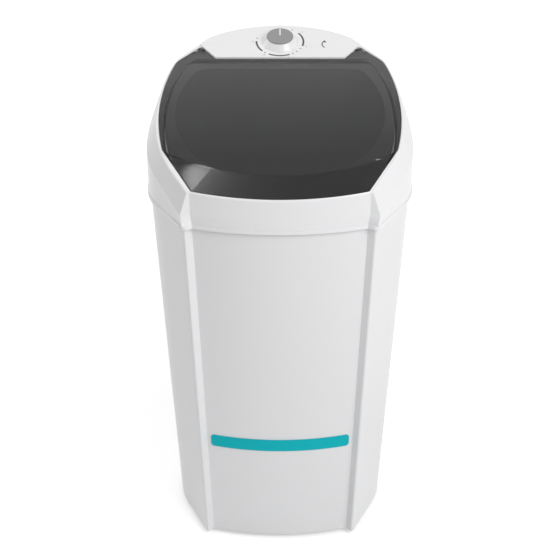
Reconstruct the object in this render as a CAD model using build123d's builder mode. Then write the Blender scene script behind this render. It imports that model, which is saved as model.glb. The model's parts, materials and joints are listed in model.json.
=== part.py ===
from build123d import *
import os
from math import acos, asin, atan2, cos, degrees, hypot, radians, sin, sqrt, tan

# A top-loading washer with one tub. Millimetres, +Z up, the front faces -Y,
# and the origin lies on the floor under the middle of the machine.

os.makedirs("parts", exist_ok=True)

# Overall levels
foot_height = 12
seam_height = 745
deck_height = 894
deck_slope = 18.3
wall = 3
fit = 0.3
running_fit = 0.05

# Cabinet outline at the seam under the top frame
seam_half_width = 256
seam_widest_y = -42
seam_side_radius = 203
seam_rear_y = 256
seam_corner_radius = 215
seam_front_y = -252
seam_bow_radius = 500
seam_edge_x = 162.5
seam_tip_x = 178
seam_tip_y = -234

# Cabinet outline at the floor end
base_half_width = 223
base_widest_y = -60
base_side_radius = 150
base_rear_y = 232
base_corner_radius = 190
base_front_y = -237
base_bow_radius = 510
base_edge_x = 143.5
base_tip_x = 155.5
base_tip_y = -231

# Shoulder and rim outlines of the top frame
shoulder_half_width = 260
shoulder_widest_y = -36
shoulder_side_radius = 215
shoulder_rear_y = 260
shoulder_corner_radius = 215
shoulder_flank_radius = 600
shoulder_rear_bow_radius = 480
shoulder_front_y = -256
shoulder_bow_radius = 560
shoulder_edge_x = 165
shoulder_tip_x = 183
shoulder_tip_y = -236
rim_half_width = 241
rim_widest_y = -20
rim_side_radius = 330
rim_rear_y = 260
rim_corner_radius = 195
rim_flank_radius = 520
rim_rear_bow_radius = 307
rim_front_y = -255.5
rim_bow_radius = 590
rim_edge_x = 164
rim_tip_x = 169
rim_tip_y = -233

# Shared by the cabinet's outlines: the flat curves of its flanks and rear, the rounding of its pillars
cabinet_flank_radius = 660
cabinet_rear_bow_radius = 600
tip_rounding = 4

# Top frame: a lip round its foot, a band leaning in to its rim, cut-off rear corners, a sloping deck
overhang = 6
lip_step = 2
skirt_drop = 2
skirt_height = 7
shoulder_depth = 45
rim_edge = 1.5
bevel_side_x = 214.5
bevel_side_y = 144
bevel_rear_x = 152.5
bevel_rear_y = 215
bevel_lean = 22
recess_depth = 6
mouth_radius = 205
mouth_rear_y = 125
mouth_rounding = 30
floor_plate_radius = 232
frame_screw_circle = 224
frame_screw_radius = 2
screw_boss_radius = 6
screw_boss_height = 20
tab_width = 24
tab_thickness = 6
tab_reach = 60

# Lid
lid_front_y = -251
lid_corner_x = 161
lid_corner_y = -230
lid_side_x = 221
lid_side_y = -121
lid_widest_x = 235
lid_widest_y = -10
lid_rear_x = 211
lid_rear_y = 141
lid_ear_y = 190
lid_drop = 1
lid_flange = 3
lid_wall = 2.6
lid_gap = 1.2
lid_border = 9
window_inset = 5
window_rise = 9
window_rear_x = 190
window_rounding = 26
visor_margin = 1.5
visor_side_margin = 4
crease_front_y = -199
crease_radius = 427
crease_x = 125
crease_side_x = 206
corner_rounding = 4
side_rounding = 15
rear_rounding = 40
ear_rounding = 4
notch_rounding = 3
buffer_radius = 5
buffer_peg_radius = 2
buffer_x = 110
buffer_y = -233

# Lid hinge
hinge_y = 182
hinge_depth = 3
hinge_pin_radius = 2.5
hinge_boss_radius = 4.8
hinge_boss_x = 165
hinge_boss_length = 6
hinge_root_x = 147
ear_relief_x = 161
ear_relief_y = 175
ear_side_x = 170.5
ear_pocket_y = 171
ear_pocket_depth = 13

# Console
console_front_x = 132.5
console_front_y = 152.5
console_side_x = 166.8
console_side_y = 195
console_corner_x = 153
console_corner_y = 226
console_depth = 12
console_rise = 2
console_wall = 2.6
console_rounding = 1.8
knob_y = 203.5

# Knob and timer
knob_base_radius = 38
knob_top_radius = 28.3
knob_height = 12
knob_wall = 2.4
knob_hub_radius = 7
cap_radius = 27.4
cap_height = 2.6
cap_rounding = 0.8
spindle_radius = 3
timer_width = 56
timer_length = 46
timer_depth = 34
timer_screw_x = 20
timer_screw_radius = 1.8
timer_screw_length = 10
timer_clearance = 16

# Tub
flange_thickness = 4
tub_top_radius = 212
tub_floor_radius = 200
tub_floor_height = 300
tub_wall = 3.5
tub_rib_count = 8
tub_rib_radius = 5
tub_rib_share = 0.8
floor_rib_count = 12
floor_rib_height = 10
sump_x = -100
sump_y = 134
sump_radius = 21
sump_drop = 14
strainer_screw_radius = 1.2
strainer_holes = 4
spigot_radius = 13
spigot_bore = 10
spigot_length = 26

# Rubber hose and cable
hose_wall = 2.5
hose_bend = 42
hose_grip = 0.7
hose_end_y = 193
outlet_grip = 14
outlet_end_y = 252
outlet_flange_radius = 20
outlet_shank_radius = 15
outlet_collar_radius = 17
outlet_collar_y = 232
gland_bore = 4
clip_thickness = 2
clip_width = 8
cable_radius = 4
cable_bend = 14
cable_x = 60
cable_top_y = 234
cable_foot_y = 222
cable_motor_height = 228
cable_notch_radius = 8
cable_bend_height = 880
cable_top_height = 820
harness_clip_heights = (390, 540, 690)

# Lint filter on the left of the tub
filter_width = 90
filter_height = 150
filter_bottom = 560
filter_thickness = 9
filter_x = -201
filter_frame = 9
filter_bars = 6
filter_bar_width = 1.4
rail_width = 4
rail_lip = 4
rail_height = 152

# Pulsator and its shaft
pulsator_radius = 140
pulsator_clearance = 6
pulsator_wall = 4
pulsator_rim_height = 8
pulsator_hub_height = 44
fin_count = 4
fin_width = 9
fin_height = 16
pulsator_dish_radius = 62
pulsator_rise = 14
pulsator_fall = 0.5
pulsator_screw_radius = 2.5
pulsator_screw_head = 6
shaft_low = 129
shaft_high = 332
shaft_radius = 6
shaft_foot_radius = 5
housing_flange_radius = 58
housing_flange_thickness = 8
housing_bolt_circle = 46
housing_bolt_count = 4
housing_radius = 20
housing_rise = 4
housing_length = 100
bush_radius = 10
bush_length = 20
seal_radius = 14
seal_height = 6
seal_lip = 1
washer_radius = 11
circlip_radius = 8.5
circlip_thickness = 1.5
housing_bolt_radius = 2.5
washer_thickness = 2

# Belt drive
belt_height = 156
pitch_radius = 90
belt_depth = 7
belt_half_width = 4.5
groove_slope = 0.28
groove_floor = 1.2
pulley_rim_rise = 3
drive_ratio = 5
pulley_width = 16
pulley_hub_radius = 17
pulley_hub_height = 30
pulley_web = 4
pulley_hole_radius = 15
pulley_hole_circle = 48
pulley_holes = 6
nut_radius = 9
nut_height = 9
motor_y = 150

# Motor
motor_radius = 56
motor_top = 262
motor_foot = 190
shield_radius = 60
shield_thickness = 10
motor_shaft_radius = 6
motor_shaft_low = 144
motor_wall = 2.5
stator_bore = 34
stator_low = 202
stator_high = 248
rotor_gap = 0.6
shield_hole_radius = 5
shield_hole_circle = 44
shield_holes = 6
bearing_radius = 15
bearing_width = 8
fan_radius = 46
fan_blades = 9
fan_blade_turn = 20
fan_low = 167
fan_height = 10
fan_hub_radius = 13
bracket_top = 273
bracket_thickness = 3
bracket_half_width = 80
bracket_half_length = 64
bracket_lip = 12
bracket_boss_radius = 8
bracket_boss_x = 70
bracket_boss_front = 100
bracket_boss_rear = 165
bolt_radius = 3
bolt_head_radius = 5.5
bolt_head_height = 4
grommet_radius = 9
grommet_circle = 36
grommet_count = 3
capacitor_radius = 18
capacitor_height = 72
capacitor_x = 140
capacitor_y = 30
clamp_height = 12
clamp_low = 44

# Rear service cover, drain outlet and cord gland
cover_half_width = 112
cover_bottom = 92
cover_top = 292
cover_thickness = 2.2
cover_overlap = 10
outlet_height = 64
gland_x = 80
gland_radius = 9
outlet_radius = 14
outlet_bore = 11
gland_neck_radius = 7
cover_screw_radius = 2
vent_length = 120
vent_width = 6
vent_rows = 8

# Base
tray_thickness = 4
tray_gap = 2
tray_rise = 6
base_boss_radius = 7
base_boss_top = 45
base_screw_radius = 2.2
wall_reach = 60
foot_radius = 20
foot_x = 118
foot_front_y = -175
foot_rear_y = 150
foot_top_radius = 16
foot_peg_radius = 5
tray_rib_height = 12
tray_slot_length = 44
tray_slot_width = 5
tray_slots = 7
base_screw_front_x = 150
base_screw_front_y = -165
base_screw_side_x = 204
base_screw_side_y = 10
base_screw_rear_x = 120
base_screw_rear_y = 192

# Front strip
strip_half_width = 142
strip_bottom = 240
strip_top = 268
strip_thickness = 1.2
strip_rounding = 7

deck_normal = (0, -sin(radians(deck_slope)), cos(radians(deck_slope)))


def save(piece, label):
    piece.label = label
    export_step(piece, f"parts/{label}.step")


def deck(depth, y=0):
    """The sloping top plane, lowered straight down by depth, with its origin at plan y."""
    height = deck_height + y * tan(radians(deck_slope)) - depth
    return Plane(origin=(0, y, height), x_dir=(1, 0, 0), z_dir=deck_normal)


def along_deck(y):
    """The distance on the sloping plane that spans y in plan."""
    return y / cos(radians(deck_slope))


def mitre(first, second, grow):
    """The shift of a corner when both lines that meet there move out by grow."""
    share = grow / (1 + first[0] * second[0] + first[1] * second[1])
    return (first[0] + second[0]) * share, (first[1] + second[1]) * share


def blend(first, second, share):
    return {key: first[key] + (second[key] - first[key]) * share for key in first}


def corner_centre(flank, flank_reach, rear, rear_reach):
    """The centre of the corner arc, at one reach from the flank's centre and one from the rear's."""
    gap = hypot(rear[0] - flank[0], rear[1] - flank[1])
    along = (flank_reach**2 - rear_reach**2 + gap**2) / (2 * gap)
    across = sqrt(flank_reach**2 - along**2)
    x = (rear[0] - flank[0]) / gap
    y = (rear[1] - flank[1]) / gap
    return flank[0] + along * x - across * y, flank[1] + along * y + across * x


def on_arc(centre, radius, angle):
    return centre[0] + radius * cos(angle), centre[1] + radius * sin(angle)


def casing_outline(plane, station, grow=0.0, sloped=False, rounding=0.0):
    """The plan outline: bowed front, two pillars, curved sides and a squarish round rear."""
    half_width = station["half_width"] + grow
    radius = station["side_radius"] + grow
    rear = station["rear_y"] + grow
    front = station["front_y"]
    bow = station["bow_radius"]
    edge_x = station["edge_x"]
    edge_y = front + bow - sqrt(bow**2 - edge_x**2)
    tip_x = station["tip_x"]
    tip_y = station["tip_y"]
    centre_x = half_width - radius
    centre_y = station["widest_y"]

    flank_run = hypot(tip_x - edge_x, tip_y - edge_y)
    flank_normal = ((tip_y - edge_y) / flank_run, (edge_x - tip_x) / flank_run)
    bow_normal = (edge_x / bow, -sqrt(bow**2 - edge_x**2) / bow)
    reach = hypot(tip_x - centre_x, tip_y - centre_y)
    side_angle = atan2(tip_y - centre_y, tip_x - centre_x) + acos((radius - grow) / reach)
    side_normal = (cos(side_angle), sin(side_angle))
    tip_shift = mitre(flank_normal, side_normal, grow)
    edge_shift = mitre(bow_normal, flank_normal, grow)

    tip = (tip_x + tip_shift[0], tip_y + tip_shift[1])
    edge = (edge_x + edge_shift[0], edge_y + edge_shift[1])
    side = on_arc((centre_x, centre_y), radius, side_angle)
    side_middle = on_arc((centre_x, centre_y), radius, side_angle / 2)
    widest = (half_width, centre_y)

    flank_radius = station["flank_radius"] + grow
    rear_bow_radius = station["rear_bow_radius"] + grow
    flank = (half_width - flank_radius, centre_y)
    back = (0, rear - rear_bow_radius)
    corner_radius = station["corner_radius"] + grow
    corner = corner_centre(flank, flank_radius - corner_radius, back, rear_bow_radius - corner_radius)
    first_turn = atan2(corner[1] - flank[1], corner[0] - flank[0])
    last_turn = atan2(corner[1] - back[1], corner[0] - back[0])
    flank_middle = on_arc(flank, flank_radius, first_turn / 2)
    corner_start = on_arc(corner, corner_radius, first_turn)
    corner_middle = on_arc(corner, corner_radius, (first_turn + last_turn) / 2)
    corner_end = on_arc(corner, corner_radius, last_turn)

    with BuildSketch(plane) as outline:
        with BuildLine():
            ThreePointArc((-edge[0], edge[1]), (0, front - grow), edge)
            for hand in (1, -1):
                Line((hand * edge[0], edge[1]), (hand * tip[0], tip[1]))
                Line((hand * tip[0], tip[1]), (hand * side[0], side[1]))
                ThreePointArc((hand * side[0], side[1]), (hand * side_middle[0], side_middle[1]),
                              (hand * widest[0], widest[1]))
                ThreePointArc((hand * widest[0], widest[1]), (hand * flank_middle[0], flank_middle[1]),
                              (hand * corner_start[0], corner_start[1]))
                ThreePointArc((hand * corner_start[0], corner_start[1]),
                              (hand * corner_middle[0], corner_middle[1]),
                              (hand * corner_end[0], corner_end[1]))
            ThreePointArc((-corner_end[0], corner_end[1]), (0, rear), corner_end)
        make_face()
        if rounding:
            fillet(outline.vertices().sort_by(Axis.Y)[:2], radius=rounding)
        if sloped:
            scale(by=(1, along_deck(1), 1))
    return outline.sketch


seam = {
    "half_width": seam_half_width,
    "widest_y": seam_widest_y,
    "side_radius": seam_side_radius,
    "rear_y": seam_rear_y,
    "corner_radius": seam_corner_radius,
    "flank_radius": cabinet_flank_radius,
    "rear_bow_radius": cabinet_rear_bow_radius,
    "front_y": seam_front_y,
    "bow_radius": seam_bow_radius,
    "edge_x": seam_edge_x,
    "tip_x": seam_tip_x,
    "tip_y": seam_tip_y,
}
base = {
    "half_width": base_half_width,
    "widest_y": base_widest_y,
    "side_radius": base_side_radius,
    "rear_y": base_rear_y,
    "corner_radius": base_corner_radius,
    "flank_radius": cabinet_flank_radius,
    "rear_bow_radius": cabinet_rear_bow_radius,
    "front_y": base_front_y,
    "bow_radius": base_bow_radius,
    "edge_x": base_edge_x,
    "tip_x": base_tip_x,
    "tip_y": base_tip_y,
}
shoulder = {
    "half_width": shoulder_half_width,
    "widest_y": shoulder_widest_y,
    "side_radius": shoulder_side_radius,
    "rear_y": shoulder_rear_y,
    "corner_radius": shoulder_corner_radius,
    "flank_radius": shoulder_flank_radius,
    "rear_bow_radius": shoulder_rear_bow_radius,
    "front_y": shoulder_front_y,
    "bow_radius": shoulder_bow_radius,
    "edge_x": shoulder_edge_x,
    "tip_x": shoulder_tip_x,
    "tip_y": shoulder_tip_y,
}
rim = {
    "half_width": rim_half_width,
    "widest_y": rim_widest_y,
    "side_radius": rim_side_radius,
    "rear_y": rim_rear_y,
    "corner_radius": rim_corner_radius,
    "flank_radius": rim_flank_radius,
    "rear_bow_radius": rim_rear_bow_radius,
    "front_y": rim_front_y,
    "bow_radius": rim_bow_radius,
    "edge_x": rim_edge_x,
    "tip_x": rim_tip_x,
    "tip_y": rim_tip_y,
}


def level(height):
    return Plane.XY.offset(height)


def bar(radius, low, high, mode=Mode.ADD):
    """An upright round bar between two heights, at the current places."""
    with Locations((0, 0, low)):
        Cylinder(radius, high - low, align=(Align.CENTER, Align.CENTER, Align.MIN), mode=mode)


def block(width, length, low, high, mode=Mode.ADD):
    """An upright block between two heights, at the current places."""
    with Locations((0, 0, low)):
        Box(width, length, high - low, align=(Align.CENTER, Align.CENTER, Align.MIN), mode=mode)


def turned(*points):
    """A body of revolution about Z from (radius, height) points."""
    with BuildPart() as piece:
        with BuildSketch(Plane.XZ):
            with BuildLine():
                Polyline(*points, close=True)
            make_face()
        revolve(axis=Axis.Z)
    return piece.part


def cabinet_core(grow):
    """The tapered body of the cabinet, grown outwards by grow."""
    rounding = max(tip_rounding + grow, 0)
    low = casing_outline(level(foot_height), base, grow, rounding=rounding)
    high = casing_outline(level(seam_height), seam, grow, rounding=rounding)
    with BuildPart() as core:
        loft([low, high], ruled=True)
    return core.part


def band_section(depth, grow=0.0):
    """A section of the band that leans in from the shoulder up to the rim."""
    return casing_outline(deck(depth), blend(rim, shoulder, depth / shoulder_depth), grow, sloped=True)


def rear_bevel(hand, inset=0.0):
    """The leaning plane that cuts off a rear corner of the top frame and the console."""
    side = Vector(hand * bevel_side_x, bevel_side_y, deck(0, bevel_side_y).origin.Z)
    rear = Vector(hand * bevel_rear_x, bevel_rear_y, deck(0, bevel_rear_y).origin.Z)
    outward = Vector(hand * (bevel_rear_y - bevel_side_y), bevel_side_x - bevel_rear_x, 0).normalized()
    fall = outward * sin(radians(bevel_lean)) - Vector(0, 0, cos(radians(bevel_lean)))
    normal = fall.cross(rear - side).normalized() * hand
    return Plane(origin=side - normal * inset, z_dir=normal)


def mouth_outline(plane, grow=0.0):
    """The round way into the tub, straight along its rear."""
    with BuildSketch(plane) as outline:
        Circle(mouth_radius + grow)
        with Locations((0, mouth_rear_y + grow)):
            Rectangle(2 * mouth_radius, mouth_radius, align=(Align.CENTER, Align.MIN), mode=Mode.SUBTRACT)
        fillet(outline.vertices().group_by(Axis.Y)[-1], radius=mouth_rounding + grow)
    return outline.sketch


chamfer_run = hypot(console_side_x - console_front_x, console_side_y - console_front_y)
chamfer_x = (console_side_x - console_front_x) / chamfer_run
chamfer_y = (console_side_y - console_front_y) / chamfer_run


def beside_console(y):
    """The point on the lid's edge along the end of the console at plan y."""
    start_x = console_front_x + lid_gap * chamfer_y
    start_y = console_front_y - lid_gap * chamfer_x
    return start_x + (y - start_y) * chamfer_x / chamfer_y, y


def on_deck(point, hand=1):
    """A plan point as a point of a sketch on the sloping plane."""
    return hand * point[0], along_deck(point[1])


def lid_outline(plane, grow=0.0):
    """The lid's plan: bowed front, cut-off corners, curved sides, an ear at each hinge."""
    corner = (lid_corner_x, lid_corner_y)
    side = (lid_side_x, lid_side_y)
    rear = (lid_rear_x, lid_rear_y)
    ear = beside_console(lid_ear_y)
    notch = beside_console(console_front_y - lid_gap)
    with BuildSketch(plane) as outline:
        with BuildLine():
            ThreePointArc(on_deck(corner, -1), on_deck((0, lid_front_y)), on_deck(corner))
            for hand in (1, -1):
                Line(on_deck(corner, hand), on_deck(side, hand))
                ThreePointArc(on_deck(side, hand), on_deck((lid_widest_x, lid_widest_y), hand),
                              on_deck(rear, hand))
                Line(on_deck(rear, hand), on_deck(ear, hand))
                Line(on_deck(ear, hand), on_deck(notch, hand))
            Line(on_deck(notch, -1), on_deck(notch))
        make_face()
        for start, radius in ((8, ear_rounding), (6, notch_rounding), (4, rear_rounding),
                              (2, side_rounding), (0, corner_rounding)):
            fillet(outline.vertices().sort_by(Axis.Y)[start:start + 2], radius=radius)
        if grow:
            offset(amount=grow)
    return outline.sketch


def window_outline(plane, inset, raised):
    """The lid's window at its foot, or at its raised top, where the visor ends at the crease."""
    def crease(x):
        return x, crease_front_y + inset + crease_radius - sqrt(crease_radius**2 - x**2)

    if raised:
        front = crease(0)
        corner = crease(crease_x - inset)
        side = crease(crease_side_x - inset)
        border = lid_border + window_inset + inset
    else:
        front = (0, lid_front_y + visor_margin + inset)
        corner = (lid_corner_x - visor_margin - inset, lid_corner_y + visor_margin + inset)
        side = (lid_side_x - visor_side_margin - inset, lid_side_y)
        border = lid_border + inset
    widest = (lid_widest_x - border, lid_widest_y)
    rear = (window_rear_x + lid_border - border, console_front_y - lid_gap - border)
    with BuildSketch(plane) as outline:
        with BuildLine():
            ThreePointArc(on_deck(corner, -1), on_deck(front), on_deck(corner))
            for hand in (1, -1):
                Line(on_deck(corner, hand), on_deck(side, hand))
                ThreePointArc(on_deck(side, hand), on_deck(widest, hand), on_deck(rear, hand))
            Line(on_deck(rear, -1), on_deck(rear))
        make_face()
        fillet(outline.vertices().sort_by(Axis.Y)[-2:], radius=window_rounding - inset)
    return outline.sketch


def console_outline(plane, grow=0.0):
    """The console's plan in front, ends and out past the rear of the machine."""
    points = [(console_front_x, console_front_y), (console_side_x, console_side_y),
              (console_corner_x, console_corner_y), (console_corner_x, 2 * rim_rear_y)]
    with BuildSketch(plane) as outline:
        with BuildLine():
            right = [on_deck(point) for point in points]
            left = [on_deck(point, -1) for point in reversed(points)]
            Polyline(*right, *left, close=True)
        make_face()
        if grow:
            offset(amount=grow, kind=Kind.INTERSECTION)
    return outline.sketch


def rear_bar(radius, x, height, start_y=base_rear_y - wall_reach):
    """A round bar along Y through the rear wall."""
    with BuildPart() as piece:
        with BuildSketch(Plane(origin=(x, start_y, height), x_dir=(1, 0, 0), z_dir=(0, 1, 0))) as section:
            Circle(radius)
        extrude(section.sketch, amount=2 * wall_reach)
    return piece.part


def rear_pieces(radius, places, outer, inner):
    """Round pieces along Y that fill the skin between two cores of the cabinet."""
    with BuildPart() as pieces:
        for x, height in places:
            add(rear_bar(radius, x, height))
        add(outer, mode=Mode.INTERSECT)
        add(inner, mode=Mode.SUBTRACT)
    return pieces.part


def route(points, bend):
    """Straight runs between the points, joined by arcs of one radius, for a hose or a cable."""
    corners = [Vector(*point) for point in points]
    with BuildLine() as path:
        start = corners[0]
        for before, corner, after in zip(corners, corners[1:], corners[2:]):
            back = (before - corner).normalized()
            ahead = (after - corner).normalized()
            half = radians(back.get_angle(ahead)) / 2
            entry = corner + back * (bend / tan(half))
            leave = corner + ahead * (bend / tan(half))
            middle = corner + (back + ahead).normalized() * (bend / sin(half) - bend)
            Line(start, entry)
            ThreePointArc(entry, middle, leave)
            start = leave
        Line(start, corners[-1])
    return path.line


def tube(path, radius, bore=0.0):
    """A round hose or cable along a path."""
    start = Plane(origin=path @ 0, z_dir=path % 0)
    with BuildPart() as piece:
        with BuildSketch(start) as section:
            Circle(radius)
            if bore:
                Circle(bore, mode=Mode.SUBTRACT)
        sweep(section.sketch, path=path)
    return piece.part


# Shared places
up = (0, 0, 1)
diagonals = (45, 135, 225, 315)
flange_top = seam_height + flange_thickness

skirt_low = seam_height - skirt_drop
skirt_top = skirt_low + skirt_height
core_skin = cabinet_core(0)
core_inside = cabinet_core(-wall)
core_lining = cabinet_core(-2 * wall)
core_flange = cabinet_core(wall / 2)
core_cover = cabinet_core(cover_thickness)
core_heads = cabinet_core(2 * cover_thickness)
knob_plane = deck(-console_rise, knob_y)
console_under = -console_wall * cos(radians(deck_slope))
hinge_height = deck_height + hinge_y * tan(radians(deck_slope)) - hinge_depth
outlet_places = [(sump_x, outlet_height)]
gland_places = [(gland_x, outlet_height)]
foot_places = [(hand * foot_x, y) for hand in (1, -1) for y in (foot_front_y, foot_rear_y)]
base_screw_corners = ((base_screw_front_x, base_screw_front_y), (base_screw_side_x, base_screw_side_y),
                      (base_screw_rear_x, base_screw_rear_y))
base_screw_places = [(hand * x, y) for x, y in base_screw_corners for hand in (1, -1)]
buffer_places = [(-buffer_x, buffer_y), (buffer_x, buffer_y)]
cover_screw_places = [(hand * (cover_half_width - cover_overlap / 2), height) for hand in (1, -1)
                      for height in (cover_bottom + cover_overlap / 2, (cover_bottom + cover_top) / 2,
                                     cover_top - cover_overlap / 2)]
strainer_screw_places = [(sump_x + hand * (sump_radius + wall), sump_y) for hand in (1, -1)]
frame_screw_places = [(frame_screw_circle * cos(radians(turn)), frame_screw_circle * sin(radians(turn)))
                      for turn in diagonals]

# Cabinet: a tapered shell with screw bosses at its foot and four tabs at its top
with BuildPart() as cabinet_bosses:
    with Locations(*base_screw_places):
        bar(base_boss_radius, foot_height + tray_rise, base_boss_top)
    for x, y in base_screw_places:
        with Locations(Location((x, y, 0), (0, 0, degrees(atan2(y, x))))):
            with Locations((wall_reach / 2, 0, 0)):
                block(wall_reach, wall, foot_height + tray_rise, base_boss_top)
    for x, y in frame_screw_places:
        with Locations(Location((x, y, 0), (0, 0, degrees(atan2(y, x))))):
            with Locations((tab_reach / 2 - screw_boss_radius, 0, 0)):
                block(tab_reach, tab_width, seam_height - tab_thickness, seam_height)
    add(core_inside, mode=Mode.INTERSECT)

with BuildPart() as cabinet:
    add(core_skin)
    add(core_inside, mode=Mode.SUBTRACT)
    add(cabinet_bosses.part)
    with Locations((0, base_rear_y, 0)):
        block(2 * (cover_half_width - cover_overlap), 2 * wall_reach, cover_bottom + cover_overlap,
              cover_top - cover_overlap, mode=Mode.SUBTRACT)
    with Locations(*frame_screw_places):
        bar(frame_screw_radius, seam_height - tab_thickness, seam_height, mode=Mode.SUBTRACT)
    with Locations(*base_screw_places):
        bar(base_screw_radius, foot_height, base_boss_top - wall, mode=Mode.SUBTRACT)
    add(rear_bar(outlet_shank_radius, sump_x, outlet_height), mode=Mode.SUBTRACT)
    add(rear_bar(gland_neck_radius, gland_x, outlet_height), mode=Mode.SUBTRACT)
    for x, height in cover_screw_places:
        add(rear_bar(cover_screw_radius, x, height), mode=Mode.SUBTRACT)
save(cabinet.part, "cabinet")

# Top frame: the body with its shoulder, hollowed from below
with BuildPart() as frame_body:
    loft([casing_outline(level(skirt_low), seam, overhang, rounding=tip_rounding + overhang),
          casing_outline(level(skirt_top), seam, overhang, rounding=tip_rounding + overhang)], ruled=True)
    loft([casing_outline(level(skirt_top), seam, overhang - lip_step), band_section(shoulder_depth)],
         ruled=True)
    loft([band_section(shoulder_depth), band_section(rim_edge)], ruled=True)
    loft([band_section(rim_edge), band_section(0, -rim_edge)], ruled=True)
    for hand in (1, -1):
        split(bisect_by=rear_bevel(hand), keep=Keep.BOTTOM)

with BuildPart() as frame_cavity:
    skirt_inside = overhang - wall
    loft([casing_outline(level(skirt_low), seam, skirt_inside, rounding=tip_rounding + skirt_inside),
          casing_outline(level(skirt_top), seam, skirt_inside, rounding=tip_rounding + skirt_inside)],
         ruled=True)
    loft([casing_outline(level(skirt_top), seam, skirt_inside - lip_step),
          band_section(shoulder_depth, -wall)], ruled=True)
    loft([band_section(shoulder_depth, -wall), band_section(recess_depth + wall, -wall)], ruled=True)
    for hand in (1, -1):
        split(bisect_by=rear_bevel(hand, wall), keep=Keep.BOTTOM)
    extrude(console_outline(deck(console_depth + wall), wall), amount=shoulder_depth, dir=up,
            mode=Mode.SUBTRACT)

with BuildPart() as ear_pockets:
    extrude(lid_outline(deck(ear_pocket_depth + wall), lid_gap + wall), amount=ear_pocket_depth, dir=up)
    with Locations((0, ear_pocket_y - wall, deck_height - rim_half_width)):
        Box(2 * lid_widest_x, 2 * lid_widest_x, 2 * rim_half_width,
            align=(Align.CENTER, Align.MAX, Align.MIN), mode=Mode.SUBTRACT)
    add(frame_body.part, mode=Mode.INTERSECT)

with BuildPart() as mouth_collar:
    extrude(mouth_outline(level(flange_top), wall), amount=mouth_radius)
    split(bisect_by=deck(recess_depth + wall / 2), keep=Keep.BOTTOM)
    bar(floor_plate_radius, flange_top, flange_top + wall)
    with Locations(*frame_screw_places):
        bar(screw_boss_radius, flange_top, flange_top + screw_boss_height)

with BuildPart() as top_frame:
    add(frame_body.part)
    add(frame_cavity.part, mode=Mode.SUBTRACT)
    add(ear_pockets.part)
    add(mouth_collar.part)
    extrude(lid_outline(deck(recess_depth), lid_gap), amount=shoulder_depth, dir=up, mode=Mode.SUBTRACT)
    with BuildSketch(deck(ear_pocket_depth)) as pocket_floor:
        add(lid_outline(Plane.XY, lid_gap))
        with Locations((0, along_deck(ear_pocket_y))):
            Rectangle(2 * lid_widest_x, 2 * lid_widest_x, align=(Align.CENTER, Align.MAX),
                      mode=Mode.SUBTRACT)
    extrude(pocket_floor.sketch, amount=shoulder_depth, dir=up, mode=Mode.SUBTRACT)
    extrude(console_outline(deck(console_depth), fit), amount=shoulder_depth, dir=up, mode=Mode.SUBTRACT)
    extrude(mouth_outline(level(skirt_low)), amount=2 * mouth_radius, mode=Mode.SUBTRACT)
    with BuildSketch(deck(console_depth + 2 * wall, knob_y)) as timer_opening:
        RectangleRounded(timer_width + timer_clearance, timer_length + timer_clearance, wall)
    extrude(timer_opening.sketch, amount=shoulder_depth, dir=up, mode=Mode.SUBTRACT)
    with Locations(*frame_screw_places):
        bar(frame_screw_radius, flange_top, flange_top + screw_boss_height - wall, mode=Mode.SUBTRACT)
    with Locations(*buffer_places):
        bar(buffer_peg_radius, seam_height, deck_height, mode=Mode.SUBTRACT)
save(top_frame.part, "top_frame")

# Lid: a flange with a hollow raised window, and a boss for each hinge pin
with BuildPart() as window_solid:
    loft([window_outline(deck(lid_drop), 0, False),
          window_outline(deck(lid_drop - window_rise), 0, True)], ruled=True)

with BuildPart() as window_hollow:
    loft([window_outline(deck(lid_drop + lid_flange), lid_wall, False),
          window_outline(deck(lid_drop - window_rise + lid_wall), lid_wall, True)], ruled=True)

with BuildPart() as lid:
    extrude(lid_outline(deck(lid_drop + lid_flange)), amount=lid_flange, dir=up)
    add(window_solid.part)
    add(window_hollow.part, mode=Mode.SUBTRACT)
    with Locations((0, ear_relief_y, deck_height)):
        Box(2 * ear_relief_x, 2 * wall_reach, 2 * rim_half_width,
            align=(Align.CENTER, Align.MIN, Align.CENTER), mode=Mode.SUBTRACT)
    with Locations(*[(hand * (ear_side_x + wall_reach / 2), ear_relief_y, deck_height) for hand in (1, -1)]):
        Box(wall_reach, 2 * wall_reach, 2 * rim_half_width,
            align=(Align.CENTER, Align.MIN, Align.CENTER), mode=Mode.SUBTRACT)
    with Locations((-hinge_boss_x, hinge_y, hinge_height), (hinge_boss_x, hinge_y, hinge_height)):
        Cylinder(hinge_boss_radius, hinge_boss_length, rotation=(0, 90, 0))
        Cylinder(hinge_pin_radius + running_fit, 2 * hinge_boss_length, rotation=(0, 90, 0),
                 mode=Mode.SUBTRACT)
save(lid.part, "lid")

with BuildPart() as hinge_pins:
    for hand in (1, -1):
        pin_end = hinge_boss_x + hinge_boss_length / 2
        with Locations((hand * (hinge_root_x + pin_end) / 2, hinge_y, hinge_height)):
            Cylinder(hinge_pin_radius, pin_end - hinge_root_x, rotation=(0, 90, 0))
save(hinge_pins.part, "hinge_pins")

with BuildPart() as lid_buffers:
    with BuildSketch(deck(recess_depth)) as pads:
        with Locations(*[(x, along_deck(y)) for x, y in buffer_places]):
            Circle(buffer_radius)
    extrude(pads.sketch, amount=recess_depth - lid_drop - lid_flange - fit, dir=up)
    with BuildSketch(deck(recess_depth + wall)) as pegs:
        with Locations(*[(x, along_deck(y)) for x, y in buffer_places]):
            Circle(buffer_peg_radius)
    extrude(pegs.sketch, amount=wall, dir=up)
save(lid_buffers.part, "lid_buffers")

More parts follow.
